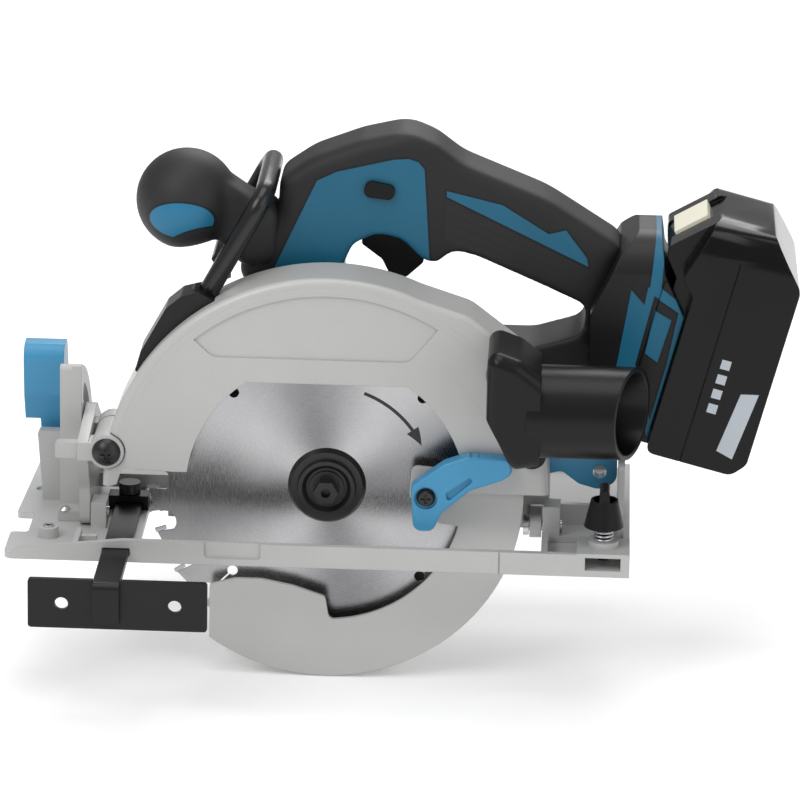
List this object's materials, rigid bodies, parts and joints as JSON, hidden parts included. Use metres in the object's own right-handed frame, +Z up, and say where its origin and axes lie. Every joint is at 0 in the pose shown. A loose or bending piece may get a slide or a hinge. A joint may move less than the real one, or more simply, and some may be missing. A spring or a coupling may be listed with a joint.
{
  "type": "circular saw",
  "caption": "Cordless circular saw: guarded blade and gearcase on a tilting, depth-adjustable base, D-handle with trigger, front grip, dust nozzle, hanging hook, rip guide and slide-on battery.",
  "frame": {"origin": "the point of the sole plane below the spindle, on the line the blade cuts", "axes": "+Z up from the sole, -X towards the front of the saw and along the cut, -Y towards the blade side, +Y towards the motor"},
  "size_m": [0.3564, 0.2046, 0.2504],
  "materials": {
    "guard_grey": "satin, fine grain",
    "base_grey": "satin",
    "black_sheet": "satin black",
    "bright_steel": "zinc plated",
    "black_steel": "black oxide",
    "blade_steel": "ground, circular brushing",
    "carbide": "ground carbide",
    "light_blue": "satin moulded",
    "housing_blue": "fine texture",
    "black_plastic": "fine texture",
    "gloss_black": "glossy",
    "cream_plastic": "satin",
    "cast_alloy": "die cast",
    "lamination": "stacked sheet",
    "board_green": "coated",
    "cell_wrap": "sleeved",
    "lens": "clear"
  },
  "bodies": {
    "base": {"base_plate": "base_grey", "bevel_adjust_screw": "bright_steel", "front_quadrant": "base_grey", "rear_bracket": "base_grey", "base_rivets": "bright_steel", "clamp_spring": "bright_steel", "rule_clamp": "black_sheet"},
    "clamp_screw": {"guide_clamp_screw": "black_plastic"},
    "rule_screw": {"rule_clamp_screw": "bright_steel"},
    "rip_guide": {"guide_bar": "black_sheet", "guide_fence": "black_sheet"},
    "tilt_frame": {"tilt_frame": "base_grey", "bevel_lock_bolt": "bright_steel", "depth_pivot_bolt": "black_steel"},
    "bevel_lever": {"bevel_lever": "light_blue"},
    "saw_body": {"upper_guard": "guard_grey", "gear_case": "cast_alloy", "motor_housing": "black_plastic", "motor_end_cover": "housing_blue", "stator": "lamination", "ball_bearings": "bright_steel", "guard_spring": "bright_steel", "dust_nozzle": "black_plastic", "body_screws": "bright_steel", "hook_mount": "guard_grey", "front_grip": "black_plastic", "grip_insert": "light_blue", "hex_key": "black_steel", "housing_near": "housing_blue", "housing_far": "housing_blue", "terminal_housing": "black_plastic", "terminal_frame": "housing_blue", "terminal_block": "black_plastic", "control_board": "board_green", "switch_module": "black_plastic", "work_light_lens": "lens", "depth_clamp_bolt": "bright_steel"},
    "depth_lever": {"depth_lever": "light_blue"},
    "spindle_group": {"spindle": "bright_steel", "driven_gear": "bright_steel", "inner_flange": "bright_steel", "outer_flange": "black_steel", "saw_blade": "blade_steel", "carbide_tips": "carbide", "blade_bolt": "black_steel"},
    "rotor_group": {"rotor_shaft": "bright_steel", "rotor_core": "lamination", "pinion": "bright_steel", "cooling_fan": "black_plastic"},
    "lower_guard": {"lower_guard": "guard_grey", "guard_lever": "light_blue", "guard_lever_screw": "bright_steel"},
    "trigger": {"trigger": "black_plastic"},
    "lock_off_button": {"lock_off_button": "black_plastic"},
    "shaft_lock": {"shaft_lock": "bright_steel"},
    "hook": {"hook": "black_steel"},
    "battery": {"battery_case": "gloss_black", "battery_cover": "gloss_black", "battery_cells": "cell_wrap"},
    "battery_release_button": {"battery_release_button": "cream_plastic"}
  },
  "joints": [
    {"name": "bevel_tilt", "type": "hinge", "parent": "base", "child": "tilt_frame", "pos_m": [0, 0, 0.009], "axis": [1, 0, 0], "range_deg": [0, 50]},
    {"name": "depth_swing", "type": "hinge", "parent": "tilt_frame", "child": "saw_body", "pos_m": [-0.1, 0, 0.043], "axis": [0, -1, 0], "range_deg": [0, 33]},
    {"name": "bevel_lever_turn", "type": "hinge", "parent": "tilt_frame", "child": "bevel_lever", "pos_m": [-0.13, 0.05313, 0.02323], "axis": [1, 0, 0], "range_deg": [-50, 0]},
    {"name": "depth_lever_turn", "type": "hinge", "parent": "saw_body", "child": "depth_lever", "pos_m": [0.062, 0, 0.0085], "axis": [0, -1, 0], "range_deg": [0, 12]},
    {"name": "blade_spin", "type": "hinge", "parent": "saw_body", "child": "spindle_group", "pos_m": [0, 0, 0.0255], "axis": [0, 1, 0], "continuous": true},
    {"name": "motor_spin", "type": "hinge", "parent": "saw_body", "child": "rotor_group", "pos_m": [0.006, 0, 0.04458], "axis": [0, 1, 0], "continuous": true},
    {"name": "guard_swing", "type": "hinge", "parent": "saw_body", "child": "lower_guard", "pos_m": [0, 0, 0.0255], "axis": [0, -1, 0], "range_deg": [0, 112], "stiffness_Nm_per_rad": 0.12, "springref_deg": -57.3},
    {"name": "trigger_pull", "type": "hinge", "parent": "saw_body", "child": "trigger", "pos_m": [0.018, 0.04, 0.146], "axis": [0, -1, 0], "range_deg": [0, 12], "stiffness_Nm_per_rad": 0.4, "springref_deg": -5.73},
    {"name": "lock_off_press", "type": "slide", "parent": "saw_body", "child": "lock_off_button", "axis": [0, 1, 0], "range_m": [-0.004, 0.004], "stiffness_N_per_m": 200},
    {"name": "shaft_lock_press", "type": "slide", "parent": "saw_body", "child": "shaft_lock", "axis": [1, 0, 0], "range_m": [0, 0.003], "stiffness_N_per_m": 200, "springref_m": -0.002},
    {"name": "hook_swing", "type": "hinge", "parent": "saw_body", "child": "hook", "pos_m": [-0.0586, 0.004, 0.109], "axis": [0.4775, 0, 0.8786], "range_deg": [0, 180]},
    {"name": "battery_release", "type": "slide", "parent": "saw_body", "child": "battery", "axis": [0.2487, 0, 0.9686], "range_m": [0, 0.09]},
    {"name": "battery_button_press", "type": "slide", "parent": "battery", "child": "battery_release_button", "axis": [0.4968, 0, -0.8679], "range_m": [0, 0.002], "stiffness_N_per_m": 200, "springref_m": -0.002},
    {"name": "rip_guide_slide", "type": "slide", "parent": "base", "child": "rip_guide", "axis": [0, -1, 0], "range_m": [-0.03, 0.03]},
    {"name": "guide_clamp_turn", "type": "hinge", "parent": "base", "child": "clamp_screw", "pos_m": [0.127, -0.03, 0], "axis": [0, 0, 1], "range_deg": [0, 540]},
    {"name": "rule_clamp_turn", "type": "hinge", "parent": "base", "child": "rule_screw", "pos_m": [-0.093, 0.0245, 0], "axis": [0, 0, 1], "range_deg": [0, 360]}
  ],
  "couplings": [
    {"joint": "motor_spin", "follows": "blade_spin", "ratio": -3.1667}
  ]
}
